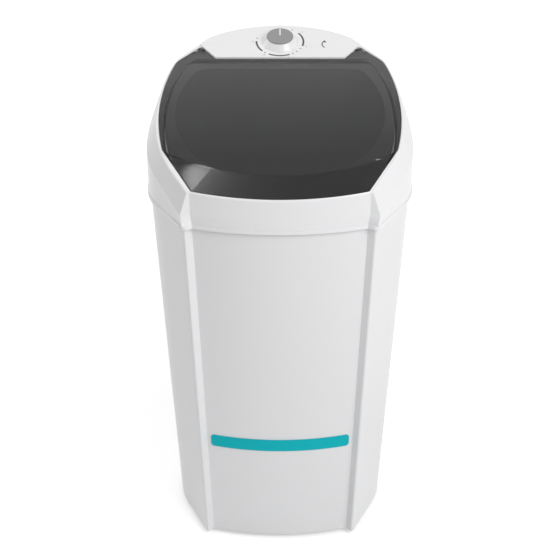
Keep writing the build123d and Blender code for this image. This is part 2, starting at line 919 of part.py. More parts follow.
# Console: a shell open below, flush with the rear of the top frame
with BuildPart() as console_hollow:
    extrude(console_outline(deck(console_depth), -console_wall),
            amount=console_depth + console_rise - console_wall, dir=up)
    extrude(casing_outline(level(seam_height), rim, -console_wall), amount=deck_height, mode=Mode.INTERSECT)
    for hand in (1, -1):
        split(bisect_by=rear_bevel(hand, console_wall), keep=Keep.BOTTOM)

with BuildPart() as control_panel:
    extrude(console_outline(deck(console_depth)), amount=console_depth + console_rise, dir=up)
    extrude(casing_outline(level(seam_height), rim), amount=deck_height, mode=Mode.INTERSECT)
    for hand in (1, -1):
        split(bisect_by=rear_bevel(hand), keep=Keep.BOTTOM)
    console_top = control_panel.faces().sort_by(Axis((0, 0, 0), deck_normal))[-1]
    fillet(console_top.edges(), radius=console_rounding)
    add(console_hollow.part, mode=Mode.SUBTRACT)
    with BuildSketch(knob_plane) as console_holes:
        Circle(spindle_radius + fit)
        with Locations((-timer_screw_x, 0), (timer_screw_x, 0)):
            Circle(timer_screw_radius)
    extrude(console_holes.sketch, amount=-2 * console_wall, mode=Mode.SUBTRACT)
    with Locations((0, hinge_y, hinge_height)):
        Cylinder(hinge_pin_radius, 2 * console_side_x, rotation=(0, 90, 0), mode=Mode.SUBTRACT)
save(control_panel.part, "control_panel")

# Knob, in its own upright frame, then set on the console
knob_seat = knob_height - knob_wall / 2
knob_under = knob_seat - knob_wall
knob_skirt = turned((knob_base_radius, fit), (knob_top_radius, knob_height), (cap_radius, knob_height),
                    (cap_radius, knob_seat), (spindle_radius, knob_seat),
                    (spindle_radius, knob_wall), (knob_hub_radius, knob_wall),
                    (knob_hub_radius, knob_under), (knob_top_radius - knob_wall, knob_under),
                    (knob_base_radius - knob_wall, fit))
save(knob_plane.location * knob_skirt, "knob_skirt")

with BuildPart() as knob_cap:
    bar(cap_radius, knob_seat, knob_height + cap_height)
    fillet(knob_cap.edges().group_by(Axis.Z)[-1], radius=cap_rounding)
save(knob_plane.location * knob_cap.part, "knob_cap")

with BuildPart() as timer_spindle:
    bar(spindle_radius, console_under - timer_depth / 2, knob_seat)
save(knob_plane.location * timer_spindle.part, "timer_spindle")

with BuildPart() as timer_body:
    block(timer_width, timer_length, console_under - timer_depth, console_under)
    fillet(timer_body.edges().filter_by(Axis.Z), radius=wall)
    bar(spindle_radius + running_fit, console_under - timer_depth / 2 - fit, console_under,
        mode=Mode.SUBTRACT)
    with Locations((-timer_screw_x, 0), (timer_screw_x, 0)):
        bar(timer_screw_radius, console_under - timer_screw_length, console_under, mode=Mode.SUBTRACT)
save(knob_plane.location * timer_body.part, "timer_body")

with BuildPart() as timer_screws:
    with Locations((-timer_screw_x, 0), (timer_screw_x, 0)):
        bar(timer_screw_radius, console_under - timer_screw_length, 0)
        bar(2 * timer_screw_radius, 0, timer_screw_radius)
save(knob_plane.location * timer_screws.part, "timer_screws")

# Tub: one moulding with its flange, floor ribs, sump and spigot, filter rails and bracket bosses
tub_taper = degrees(atan2(tub_top_radius - tub_floor_radius, flange_top - tub_floor_height))
tub_middle = (tub_top_radius + tub_floor_radius) / 2
floor_under = tub_floor_height - flange_thickness
sump_floor = floor_under - sump_drop
bracket_places = [(x, y) for x in (-bracket_boss_x, bracket_boss_x)
                  for y in (bracket_boss_front, bracket_boss_rear)]

tub_shell = turned((housing_radius + fit, floor_under), (tub_floor_radius + tub_wall, floor_under),
                   (tub_top_radius + tub_wall, flange_top), (tub_top_radius, flange_top),
                   (tub_floor_radius, tub_floor_height), (housing_radius + fit, tub_floor_height))
with BuildPart() as tub_flange:
    extrude(casing_outline(level(seam_height), seam, -fit), amount=flange_thickness)
    bar(tub_top_radius, seam_height, flange_top, mode=Mode.SUBTRACT)
    with Locations((cable_x, cable_top_y)):
        bar(cable_notch_radius, seam_height, flange_top, mode=Mode.SUBTRACT)
    with Locations(*frame_screw_places):
        bar(frame_screw_radius, seam_height, flange_top, mode=Mode.SUBTRACT)

with BuildPart() as wash_tub:
    add(tub_shell)
    add(tub_flange.part)
    with PolarLocations(tub_middle - tub_rib_radius / 3, tub_rib_count, start_angle=180 / tub_rib_count):
        with Locations(Location((0, 0, (tub_floor_height + flange_top) / 2), (0, tub_taper, 0))):
            Cylinder(tub_rib_radius, (flange_top - tub_floor_height) * tub_rib_share)
    with PolarLocations((housing_flange_radius + tub_floor_radius) / 2, floor_rib_count,
                        start_angle=180 / floor_rib_count):
        block(tub_floor_radius - housing_flange_radius - wall, wall, floor_under - floor_rib_height,
              floor_under)
    with Locations((sump_x, sump_y)):
        bar(sump_radius + tub_wall, sump_floor - tub_wall, floor_under)
        bar(spigot_radius, sump_floor - spigot_length, sump_floor)
        bar(sump_radius, sump_floor, tub_floor_height, mode=Mode.SUBTRACT)
        bar(spigot_bore, sump_floor - spigot_length, sump_floor, mode=Mode.SUBTRACT)
    with Locations(*strainer_screw_places):
        bar(strainer_screw_radius, floor_under, tub_floor_height, mode=Mode.SUBTRACT)
    with Locations(*bracket_places):
        bar(bracket_boss_radius, bracket_top, floor_under)
        bar(bolt_radius, bracket_top, floor_under - wall, mode=Mode.SUBTRACT)
    for hand in (1, -1):
        rail_y = hand * (filter_width / 2 + fit + rail_width / 2)
        with Locations((filter_x, rail_y)):
            block(2 * filter_thickness + 2 * rail_lip, rail_width, filter_bottom - wall,
                  filter_bottom + rail_height)
        with Locations((filter_x + filter_thickness + rail_lip / 2, hand * (filter_width - rail_lip) / 2)):
            block(rail_lip - 2 * fit, rail_lip + rail_width / 2, filter_bottom - wall,
                  filter_bottom + rail_height)
    with Locations((filter_x + filter_thickness / 2, 0)):
        block(filter_thickness + 2 * rail_lip, filter_width + 2 * rail_width, filter_bottom - 2 * wall,
              filter_bottom - fit)
    with PolarLocations(housing_bolt_circle, housing_bolt_count):
        bar(housing_bolt_radius, floor_under, tub_floor_height, mode=Mode.SUBTRACT)
save(wash_tub.part, "wash_tub")

# Lint filter: a framed grid with a finger tab, sliding in its rails
with BuildPart() as lint_filter:
    with Locations((filter_x + filter_thickness / 2, 0)):
        block(filter_thickness, filter_width, filter_bottom, filter_bottom + filter_height)
        block(filter_thickness, filter_width - 2 * filter_frame, filter_bottom + filter_frame,
              filter_bottom + filter_height - filter_frame, mode=Mode.SUBTRACT)
    grid_width = filter_width - 2 * filter_frame
    grid_height = filter_height - 2 * filter_frame
    for step in range(1, filter_bars + 1):
        with Locations((filter_x + filter_thickness / 2, (step / (filter_bars + 1) - 1 / 2) * grid_width)):
            block(filter_bar_width, filter_bar_width, filter_bottom + filter_frame,
                  filter_bottom + filter_height - filter_frame)
    for step in range(1, 2 * filter_bars):
        bar_height = filter_bottom + filter_frame + step / (2 * filter_bars) * grid_height
        with Locations((filter_x + filter_thickness / 2, 0)):
            block(filter_bar_width, grid_width, bar_height, bar_height + filter_bar_width)
    with Locations((filter_x + filter_thickness / 2, 0)):
        block(filter_bar_width + wall / 2, filter_width / 3, filter_bottom + filter_height,
              filter_bottom + filter_height + filter_frame - wall)
save(lint_filter.part, "lint_filter")

# Strainer over the sump
with BuildPart() as drain_strainer:
    with Locations((sump_x, sump_y)):
        bar(sump_radius + 2 * wall, tub_floor_height, tub_floor_height + wall / 2)
        with GridLocations(3 * wall, 3 * wall, strainer_holes, strainer_holes):
            bar(wall, tub_floor_height, tub_floor_height + wall / 2, mode=Mode.SUBTRACT)
    with Locations(*strainer_screw_places):
        bar(strainer_screw_radius, tub_floor_height, tub_floor_height + wall / 2, mode=Mode.SUBTRACT)
save(drain_strainer.part, "drain_strainer")

with BuildPart() as strainer_screws:
    with Locations(*strainer_screw_places):
        bar(strainer_screw_radius, floor_under, tub_floor_height + wall / 2)
        bar(2 * strainer_screw_radius, tub_floor_height + wall / 2, tub_floor_height + wall)
save(strainer_screws.part, "strainer_screws")

# Bearing housing under the tub, with its bushes, seal and bolts
housing_top = tub_floor_height + housing_rise
housing_low = housing_top - housing_length
housing_flange_low = floor_under - housing_flange_thickness
seal_low = housing_top - seal_height
bush_seat_top = seal_low - wall / 2
bearing_housing = turned(
    (bush_radius, housing_low), (housing_radius, housing_low),
    (housing_radius, housing_flange_low), (housing_flange_radius, housing_flange_low),
    (housing_flange_radius, floor_under),
    (housing_radius, floor_under), (housing_radius, housing_top), (seal_radius, housing_top),
    (seal_radius, seal_low), (bush_radius, seal_low), (bush_radius, bush_seat_top - bush_length),
    (bush_radius - wall / 2, bush_seat_top - bush_length),
    (bush_radius - wall / 2, housing_low + bush_length), (bush_radius, housing_low + bush_length))
with BuildPart() as housing:
    add(bearing_housing)
    for turn in diagonals:
        with Locations(Location((0, 0, 0), (0, 0, turn))):
            with Locations(((housing_radius + housing_flange_radius) / 2 - wall, 0)):
                block(housing_flange_radius - housing_radius - wall, wall,
                      housing_flange_low - 4 * wall, housing_flange_low)
    with PolarLocations(housing_bolt_circle, housing_bolt_count):
        bar(housing_bolt_radius, housing_flange_low, floor_under, mode=Mode.SUBTRACT)
save(housing.part, "bearing_housing")

with BuildPart() as housing_bolts:
    with PolarLocations(housing_bolt_circle, housing_bolt_count):
        bar(housing_bolt_radius, housing_flange_low, tub_floor_height)
        bar(2 * housing_bolt_radius, tub_floor_height, tub_floor_height + wall / 2)
        bar(2 * housing_bolt_radius, housing_flange_low - wall, housing_flange_low)
save(housing_bolts.part, "housing_bolts")

running_bore = shaft_radius + running_fit
save(turned((running_bore, bush_seat_top - bush_length), (bush_radius, bush_seat_top - bush_length),
            (bush_radius, bush_seat_top), (running_bore, bush_seat_top)), "upper_bush")
save(turned((running_bore, housing_low), (bush_radius, housing_low),
            (bush_radius, housing_low + bush_length), (running_bore, housing_low + bush_length)),
     "lower_bush")
save(turned((running_bore, seal_low), (seal_radius, seal_low), (seal_radius, housing_top - seal_lip),
            (running_bore + wall, housing_top - seal_lip), (running_bore, housing_top)), "shaft_seal")

# Drive shaft with its washers and circlip
washer_low = housing_low - fit - washer_thickness
circlip_low = washer_low - fit - circlip_thickness
hub_low = belt_height - pulley_hub_height / 2
hub_high = belt_height + pulley_hub_height / 2
with BuildPart() as drive_shaft:
    bar(shaft_radius, hub_low, shaft_high)
    bar(shaft_foot_radius, shaft_low, hub_low)
    bar(pulsator_screw_radius, shaft_high - 2 * shaft_radius, shaft_high, mode=Mode.SUBTRACT)
    bar(shaft_radius, circlip_low, circlip_low + circlip_thickness, mode=Mode.SUBTRACT)
    bar(shaft_foot_radius, circlip_low, circlip_low + circlip_thickness)
save(drive_shaft.part, "drive_shaft")

with BuildPart() as thrust_washers:
    bar(washer_radius, washer_low, washer_low + washer_thickness)
    bar(washer_radius, housing_top + fit, housing_top + pulsator_clearance - housing_rise)
    bar(shaft_radius, washer_low, housing_top + pulsator_clearance, mode=Mode.SUBTRACT)
save(thrust_washers.part, "thrust_washers")

with BuildPart() as shaft_circlip:
    bar(circlip_radius, circlip_low, circlip_low + circlip_thickness)
    bar(shaft_foot_radius, circlip_low, circlip_low + circlip_thickness, mode=Mode.SUBTRACT)
    with Locations((circlip_radius, 0)):
        block(2 * circlip_thickness + circlip_radius, 2 * wall, circlip_low, circlip_low + circlip_thickness,
              mode=Mode.SUBTRACT)
save(shaft_circlip.part, "shaft_circlip")

# Pulsator: a dished disc with a hollow hub and curved fins
dish_foot = tub_floor_height + pulsator_clearance
dish_under = dish_foot - wall
dish_top = dish_foot + pulsator_rim_height
hub_top = dish_foot + pulsator_hub_height
with BuildPart() as pulsator:
    with BuildSketch(Plane.XZ):
        with BuildLine():
            Line((shaft_radius, hub_top), (2 * pulsator_screw_head, hub_top))
            dome = Spline((2 * pulsator_screw_head, hub_top),
                          (pulsator_dish_radius, dish_top + pulsator_rise - pulsator_wall),
                          (pulsator_radius, dish_top), tangents=((1, -pulsator_fall), (1, 0)))
            Polyline(dome @ 1, (pulsator_radius, dish_under),
                     (pulsator_radius - pulsator_wall, dish_under),
                     (pulsator_radius - pulsator_wall, dish_top - pulsator_wall),
                     (pulsator_dish_radius, dish_top - pulsator_wall),
                     (housing_radius + 2 * wall, dish_top + pulsator_wall),
                     (housing_radius + wall, dish_foot), (shaft_radius, dish_foot),
                     (shaft_radius, hub_top))
        make_face()
    revolve(axis=Axis.Z)
    with BuildSketch(Plane.XZ) as fin:
        with BuildLine():
            Polyline((pulsator_radius - wall, dish_top - pulsator_wall / 2),
                     (2 * pulsator_screw_head, dish_top - pulsator_wall / 2),
                     (2 * pulsator_screw_head, hub_top - wall))
            ThreePointArc((2 * pulsator_screw_head, hub_top - wall),
                          (pulsator_dish_radius, dish_top + pulsator_rise + fin_height / 2),
                          (pulsator_radius - wall, dish_top - pulsator_wall / 2))
        make_face()
    with PolarLocations(0, fin_count):
        extrude(fin.sketch, amount=fin_width / 2, both=True)
    bar(shaft_radius, dish_under, shaft_high, mode=Mode.SUBTRACT)
    bar(pulsator_screw_radius, shaft_high, hub_top, mode=Mode.SUBTRACT)
    bar(pulsator_screw_head, hub_top - pulsator_screw_head, hub_top, mode=Mode.SUBTRACT)
save(pulsator.part, "pulsator")

with BuildPart() as pulsator_screw:
    bar(pulsator_screw_radius, shaft_high - 2 * shaft_radius, hub_top - pulsator_screw_head)
    bar(pulsator_screw_head, hub_top - pulsator_screw_head, hub_top - wall / 2)
save(pulsator_screw.part, "pulsator_screw")


# Belt drive
def grooved_rim(pitch, bore):
    """A rim with a groove for the belt, at the belt's height."""
    outside = pitch + pulley_rim_rise
    floor = pitch - belt_depth / 2 - groove_floor
    mouth_half = (belt_half_width + fit + fit * groove_slope
                  - groove_slope * (belt_depth / 2 - pulley_rim_rise))
    floor_half = mouth_half - groove_slope * (outside - floor)
    return turned((bore, belt_height - pulley_width / 2), (outside, belt_height - pulley_width / 2),
                  (outside, belt_height - mouth_half), (floor, belt_height - floor_half),
                  (floor, belt_height + floor_half), (outside, belt_height + mouth_half),
                  (outside, belt_height + pulley_width / 2), (bore, belt_height + pulley_width / 2))


large_rim = grooved_rim(pitch_radius, pitch_radius - belt_depth / 2 - groove_floor - pulley_web)
small_pitch = pitch_radius / drive_ratio
small_rim = grooved_rim(small_pitch, motor_shaft_radius)
with BuildPart() as drive_pulley:
    bar(pitch_radius - belt_depth, belt_height - pulley_web / 2, belt_height + pulley_web / 2)
    with PolarLocations(pulley_hole_circle, pulley_holes):
        bar(pulley_hole_radius, hub_low, hub_high, mode=Mode.SUBTRACT)
    add(large_rim)
    bar(pulley_hub_radius, hub_low, hub_high)
    bar(shaft_radius, hub_low, hub_high, mode=Mode.SUBTRACT)
save(drive_pulley.part, "drive_pulley")

with BuildPart() as pulley_nut:
    with BuildSketch(level(hub_low - nut_height)):
        RegularPolygon(nut_radius, 6)
    extrude(amount=nut_height)
    bar(shaft_foot_radius, hub_low - nut_height, hub_low, mode=Mode.SUBTRACT)
save(pulley_nut.part, "pulley_nut")

belt_turn = asin((pitch_radius - small_pitch) / motor_y)
large_touch = (pitch_radius * cos(belt_turn), pitch_radius * sin(belt_turn), belt_height)
small_touch = (small_pitch * cos(belt_turn), motor_y + small_pitch * sin(belt_turn), belt_height)
with BuildPart() as drive_belt:
    with BuildLine() as belt_path:
        ThreePointArc((-large_touch[0], large_touch[1], belt_height), (0, -pitch_radius, belt_height),
                      large_touch)
        Line(large_touch, small_touch)
        ThreePointArc(small_touch, (0, motor_y + small_pitch, belt_height),
                      (-small_touch[0], small_touch[1], belt_height))
        Line((-small_touch[0], small_touch[1], belt_height), (-large_touch[0], large_touch[1], belt_height))
    inner_half = belt_half_width - groove_slope * belt_depth
    with BuildSketch(Plane(origin=(0, -pitch_radius, belt_height), x_dir=(0, 1, 0), z_dir=(1, 0, 0))):
        with BuildLine():
            Polyline((-belt_depth / 2, -belt_half_width), (belt_depth / 2, -inner_half),
                     (belt_depth / 2, inner_half), (-belt_depth / 2, belt_half_width), close=True)
        make_face()
    sweep(path=belt_path.line)
save(drive_belt.part, "drive_belt")

# Motor, hung under the tub on a bracket with rubber grommets
with BuildPart() as motor_pulley:
    with Locations((0, motor_y)):
        add(small_rim)
save(motor_pulley.part, "motor_pulley")

bearing_top = motor_top - motor_wall
shield_high = motor_foot
shield_low = motor_foot - shield_thickness
with BuildPart() as motor_housing:
    with Locations((0, motor_y)):
        bar(motor_radius, motor_foot, motor_top)
        bar(motor_radius - motor_wall, motor_foot, bearing_top, mode=Mode.SUBTRACT)
        bar(bearing_radius + motor_wall, bearing_top - bearing_width, bearing_top)
        bar(bearing_radius, bearing_top - bearing_width, bearing_top, mode=Mode.SUBTRACT)
        with PolarLocations(grommet_circle, grommet_count, start_angle=90):
            bar(bolt_radius, bearing_top, motor_top, mode=Mode.SUBTRACT)
save(motor_housing.part, "motor_housing")

with BuildPart() as motor_stator:
    with Locations((0, motor_y)):
        bar(motor_radius - motor_wall, stator_low, stator_high)
        bar(stator_bore, stator_low, stator_high, mode=Mode.SUBTRACT)
save(motor_stator.part, "motor_stator")

with BuildPart() as motor_end_shield:
    with Locations((0, motor_y)):
        bar(shield_radius, shield_low, shield_high)
        bar(bearing_radius, shield_low + motor_wall / 2, shield_high, mode=Mode.SUBTRACT)
        bar(bearing_radius - motor_wall, shield_low, shield_high, mode=Mode.SUBTRACT)
        with PolarLocations(shield_hole_circle, shield_holes):
            bar(shield_hole_radius, shield_low, shield_high, mode=Mode.SUBTRACT)
save(motor_end_shield.part, "motor_end_shield")

with BuildPart() as motor_bearings:
    with Locations((0, motor_y)):
        bar(bearing_radius, shield_high - bearing_width, shield_high)
        bar(bearing_radius, bearing_top - bearing_width, bearing_top)
        bar(motor_shaft_radius + running_fit, shield_low, bearing_top, mode=Mode.SUBTRACT)
save(motor_bearings.part, "motor_bearings")

with BuildPart() as motor_shaft:
    with Locations((0, motor_y)):
        bar(motor_shaft_radius, motor_shaft_low, bearing_top - fit)
save(motor_shaft.part, "motor_shaft")

with BuildPart() as motor_rotor:
    with Locations((0, motor_y)):
        bar(stator_bore - rotor_gap, stator_low, stator_high)
        bar(motor_shaft_radius, stator_low, stator_high, mode=Mode.SUBTRACT)
save(motor_rotor.part, "motor_rotor")

with BuildPart() as motor_fan:
    with Locations((0, motor_y)):
        bar(fan_hub_radius, fan_low, fan_low + fan_height)
        bar(fan_radius, fan_low + fan_height - wall / 2, fan_low + fan_height)
        with PolarLocations((fan_radius + fan_hub_radius) / 2, fan_blades):
            with Locations(Location((0, 0, 0), (0, 0, fan_blade_turn))):
                block(fan_radius - fan_hub_radius, wall / 2, fan_low, fan_low + fan_height - wall / 2)
        bar(motor_shaft_radius, fan_low, fan_low + fan_height, mode=Mode.SUBTRACT)
save(motor_fan.part, "motor_fan")

bracket_low = bracket_top - bracket_thickness
with BuildPart() as motor_bracket:
    with Locations((0, motor_y)):
        block(2 * bracket_half_width, 2 * bracket_half_length, bracket_top - bracket_lip, bracket_top)
        block(2 * (bracket_half_width - bracket_thickness), 2 * bracket_half_length,
              bracket_top - bracket_lip, bracket_low, mode=Mode.SUBTRACT)
        bar(bearing_radius, bracket_low, bracket_top, mode=Mode.SUBTRACT)
        with PolarLocations(grommet_circle, grommet_count, start_angle=90):
            bar(bolt_radius, bracket_low, bracket_top, mode=Mode.SUBTRACT)
    with Locations(*bracket_places):
        bar(bolt_radius, bracket_low, bracket_top, mode=Mode.SUBTRACT)
save(motor_bracket.part, "motor_bracket")

with BuildPart() as bracket_bolts:
    with Locations(*bracket_places):
        bar(bolt_head_radius, bracket_low - bolt_head_height, bracket_low)
        bar(bolt_radius, bracket_low, floor_under - wall)
save(bracket_bolts.part, "bracket_bolts")

with BuildPart() as motor_grommets:
    with Locations((0, motor_y)):
        with PolarLocations(grommet_circle, grommet_count, start_angle=90):
            bar(grommet_radius, motor_top, bracket_low)
            bar(bolt_radius, motor_top, bracket_low, mode=Mode.SUBTRACT)
save(motor_grommets.part, "motor_grommets")

with BuildPart() as motor_bolts:
    with Locations((0, motor_y)):
        with PolarLocations(grommet_circle, grommet_count, start_angle=90):
            bar(bolt_radius, bearing_top - wall, bracket_top)
            bar(bolt_head_radius, bracket_top, bracket_top + bolt_head_height)
save(motor_bolts.part, "motor_bolts")

# Capacitor on the tray, held by a clamp
tray_low = foot_height + tray_gap
tray_high = tray_low + tray_thickness
with BuildPart() as capacitor:
    with Locations((capacitor_x, capacitor_y)):
        bar(capacitor_radius, tray_high, tray_high + capacitor_height)
        bar(capacitor_radius - wall, tray_high + capacitor_height, tray_high + capacitor_height + wall)
    with Locations((capacitor_x - 2 * wall, capacitor_y), (capacitor_x + 2 * wall, capacitor_y)):
        bar(wall / 2, tray_high + capacitor_height, tray_high + capacitor_height + 3 * wall)
save(capacitor.part, "capacitor")

with BuildPart() as capacitor_clamp:
    with Locations((capacitor_x, capacitor_y)):
        bar(capacitor_radius + clip_thickness, clamp_low, clamp_low + clamp_height)
        bar(capacitor_radius, clamp_low, clamp_low + clamp_height, mode=Mode.SUBTRACT)
    with Locations((capacitor_x - capacitor_radius - clip_thickness / 2, capacitor_y)):
        block(clip_thickness, clamp_height, tray_high, clamp_low)
    with Locations((capacitor_x - capacitor_radius - clamp_height / 2, capacitor_y)):
        block(clamp_height, clamp_height, tray_high, tray_high + clip_thickness)
save(capacitor_clamp.part, "capacitor_clamp")

# Drain: a hose from the sump's spigot to an outlet in the rear wall, with its clips
spigot_end = sump_floor - spigot_length
hose_start = spigot_end + spigot_length * hose_grip
hose_path = route([(sump_x, sump_y, hose_start), (sump_x, sump_y, outlet_height),
                   (sump_x, hose_end_y, outlet_height)], hose_bend)
save(tube(hose_path, spigot_radius + hose_wall, spigot_radius), "drain_hose")

with BuildPart() as hose_clips:
    with Locations((sump_x, sump_y)):
        bar(spigot_radius + hose_wall + clip_thickness, hose_start - clip_width - wall, hose_start - wall)
        bar(spigot_radius + hose_wall, hose_start - clip_width - wall, hose_start - wall, mode=Mode.SUBTRACT)
    with BuildSketch(Plane(origin=(sump_x, hose_end_y - wall, outlet_height), x_dir=(1, 0, 0),
                           z_dir=(0, -1, 0))):
        Circle(spigot_radius + hose_wall + clip_thickness)
        Circle(spigot_radius + hose_wall, mode=Mode.SUBTRACT)
    extrude(amount=clip_width)
save(hose_clips.part, "hose_clips")


def outlet_stretch(radius, start_y, end_y):
    """A stretch of the outlet along Y."""
    with BuildPart() as piece:
        with BuildSketch(Plane(origin=(sump_x, start_y, outlet_height), x_dir=(1, 0, 0), z_dir=(0, 1, 0))):
            Circle(radius)
        extrude(amount=end_y - start_y)
    return piece.part


with BuildPart() as drain_outlet:
    add(outlet_stretch(outlet_collar_radius, hose_end_y, outlet_collar_y))
    add(core_skin, mode=Mode.SUBTRACT)
    add(outlet_stretch(spigot_radius, hose_end_y - outlet_grip, hose_end_y))
    add(outlet_stretch(outlet_shank_radius, hose_end_y, outlet_collar_y))
    add(outlet_stretch(outlet_radius, outlet_collar_y, outlet_end_y))
    add(rear_pieces(outlet_flange_radius, outlet_places, core_flange, core_skin))
    add(rear_pieces(outlet_flange_radius, outlet_places, core_inside, core_lining))
    add(outlet_stretch(outlet_bore, hose_end_y - outlet_grip, outlet_end_y), mode=Mode.SUBTRACT)
save(drain_outlet.part, "drain_outlet")

# Bush for the mains lead in the rear wall
with BuildPart() as cord_gland:
    add(rear_pieces(gland_radius, gland_places, core_flange, core_skin))
    add(rear_pieces(gland_neck_radius, gland_places, core_skin, core_inside))
    add(rear_pieces(gland_radius, gland_places, core_inside, core_lining))
    add(rear_bar(gland_bore, gland_x, outlet_height), mode=Mode.SUBTRACT)
save(cord_gland.part, "cord_gland")

# Internal wiring from the timer down the rear wall to the motor, with its clips
timer_foot = knob_plane.location * Pos(cable_x / 3, 0, console_under - timer_depth)
timer_end = timer_foot.position
cable_path = route([(timer_end.X, timer_end.Y, timer_end.Z), (timer_end.X, timer_end.Y, cable_bend_height),
                    (cable_x, cable_top_y, cable_top_height), (cable_x, cable_foot_y, cable_motor_height),
                    (0, motor_y, cable_motor_height)], cable_bend)
with BuildPart() as wiring_harness:
    add(tube(cable_path, cable_radius))
    with Locations((0, motor_y)):
        bar(motor_radius, motor_foot, motor_top, mode=Mode.SUBTRACT)
    add(knob_plane.location * timer_body.part, mode=Mode.SUBTRACT)
save(wiring_harness.part, "wiring_harness")

with BuildPart() as harness_clips:
    cable_slope = (cable_top_y - cable_foot_y) / (cable_top_height - cable_motor_height)
    for height in harness_clip_heights:
        with Locations((cable_x, cable_foot_y + (height - cable_motor_height) * cable_slope)):
            bar(cable_radius + clip_thickness, height, height + clip_width)
            with Locations((0, wall_reach / 2)):
                block(clip_width, wall_reach, height, height + clip_width)
    add(core_inside, mode=Mode.INTERSECT)
    add(tube(cable_path, cable_radius), mode=Mode.SUBTRACT)
save(harness_clips.part, "harness_clips")

# Base tray with its ribs and slots, feet and screws
tray_outline = casing_outline(level(tray_low), base, -wall - fit, rounding=tip_rounding)
with BuildPart() as base_tray:
    extrude(tray_outline, amount=tray_thickness)
    with Locations((0, foot_rear_y / 2), (0, foot_front_y / 2)):
        block(2 * foot_x, wall, tray_high, tray_high + tray_rib_height)
    with Locations((-foot_x / 2, 0), (foot_x / 2, 0)):
        block(wall, 2 * foot_rear_y, tray_high, tray_high + tray_rib_height)
    with Locations(*foot_places):
        bar(foot_radius - wall, tray_high, tray_high + wall)
        bar(foot_peg_radius, tray_low, tray_high + wall, mode=Mode.SUBTRACT)
    with Locations((0, foot_rear_y / 2 - tray_slot_length)):
        with GridLocations(3 * tray_slot_width, 0, tray_slots, 1):
            block(tray_slot_width, tray_slot_length, tray_low, tray_high, mode=Mode.SUBTRACT)
    with Locations(*base_screw_places):
        bar(base_screw_radius, tray_low, tray_high, mode=Mode.SUBTRACT)
save(base_tray.part, "base_tray")

with BuildPart() as feet:
    with Locations(*foot_places):
        add(turned((0, 0), (foot_radius - wall / 2, 0), (foot_radius, wall / 2), (foot_top_radius, tray_low),
                   (foot_peg_radius, tray_low), (foot_peg_radius, tray_high + wall), (0, tray_high + wall)))
save(feet.part, "feet")

with BuildPart() as base_screws:
    with Locations(*base_screw_places):
        bar(2 * base_screw_radius, tray_low - wall / 2, tray_low)
        bar(base_screw_radius, tray_low, base_boss_top - 2 * wall)
save(base_screws.part, "base_screws")

# Rear service cover on the curved wall, and its screws
with BuildPart() as rear_cover:
    add(core_cover)
    add(core_skin, mode=Mode.SUBTRACT)
    with Locations((0, base_rear_y, 0)):
        block(2 * cover_half_width, 2 * wall_reach, cover_bottom, cover_top, mode=Mode.INTERSECT)
    with BuildSketch(Plane(origin=(0, base_rear_y - wall_reach, (cover_bottom + cover_top) / 2),
                           x_dir=(1, 0, 0), z_dir=(0, -1, 0))) as vents:
        with GridLocations(cover_half_width, 2 * vent_width, 1, vent_rows):
            SlotOverall(vent_length, vent_width)
    extrude(vents.sketch, amount=-4 * wall_reach, mode=Mode.SUBTRACT)
    for x, height in cover_screw_places:
        add(rear_bar(cover_screw_radius, x, height), mode=Mode.SUBTRACT)
save(rear_cover.part, "rear_cover")

with BuildPart() as rear_cover_screws:
    add(rear_pieces(2 * cover_screw_radius, cover_screw_places, core_heads, core_cover))
    add(rear_pieces(cover_screw_radius, cover_screw_places, core_cover, core_lining))
save(rear_cover_screws.part, "rear_cover_screws")

# Strip across the bowed front panel
with BuildPart() as front_strip:
    add(cabinet_core(strip_thickness + fit))
    add(cabinet_core(fit), mode=Mode.SUBTRACT)
    with BuildSketch(Plane(origin=(0, 0, (strip_bottom + strip_top) / 2), x_dir=(1, 0, 0),
                           z_dir=(0, -1, 0))) as strip_face:
        RectangleRounded(2 * strip_half_width, strip_top - strip_bottom, strip_rounding)
    extrude(strip_face.sketch, amount=2 * seam_half_width, mode=Mode.INTERSECT)
save(front_strip.part, "front_strip")

# Screws that hold the top frame and the tub's flange to the cabinet's tabs
with BuildPart() as frame_screws:
    with Locations(*frame_screw_places):
        bar(2 * frame_screw_radius, seam_height - tab_thickness - wall / 2, seam_height - tab_thickness)
        bar(frame_screw_radius, seam_height - tab_thickness, flange_top + screw_boss_height - 2 * wall)
save(frame_screws.part, "frame_screws")
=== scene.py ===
import json
from math import cos, radians, sin, tan

import bmesh
import bpy
from mathutils import Euler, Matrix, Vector


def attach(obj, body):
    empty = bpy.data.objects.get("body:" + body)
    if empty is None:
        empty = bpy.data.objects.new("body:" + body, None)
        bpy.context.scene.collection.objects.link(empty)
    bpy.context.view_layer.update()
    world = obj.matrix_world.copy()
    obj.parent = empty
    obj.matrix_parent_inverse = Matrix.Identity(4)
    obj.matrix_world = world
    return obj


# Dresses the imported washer: procedural materials for its pieces, the printing on the
# console, a plain studio and the photograph's camera. Metres, in the model's own frame.

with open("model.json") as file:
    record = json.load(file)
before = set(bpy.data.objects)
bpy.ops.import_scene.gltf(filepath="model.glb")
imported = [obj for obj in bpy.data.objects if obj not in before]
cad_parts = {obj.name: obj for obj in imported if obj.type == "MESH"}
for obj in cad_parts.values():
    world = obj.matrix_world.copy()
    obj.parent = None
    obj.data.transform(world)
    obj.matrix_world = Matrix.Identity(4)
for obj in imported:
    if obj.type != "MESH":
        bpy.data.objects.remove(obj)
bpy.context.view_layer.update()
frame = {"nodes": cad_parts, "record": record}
nodes = frame["nodes"]

# The sloping deck of the top frame, and the knob on the console
deck_height = 0.894
deck_slope = radians(18.3)
console_rise = 0.002
knob_y = 0.2035
knob_height = 0.012
cap_height = 0.0026
knob_turn = 270

# The crease between the lid's window and its visor, a bow seen from above
crease_y = -0.199
crease_radius = 0.415
visor_start = -0.002
visor_full = 0.004

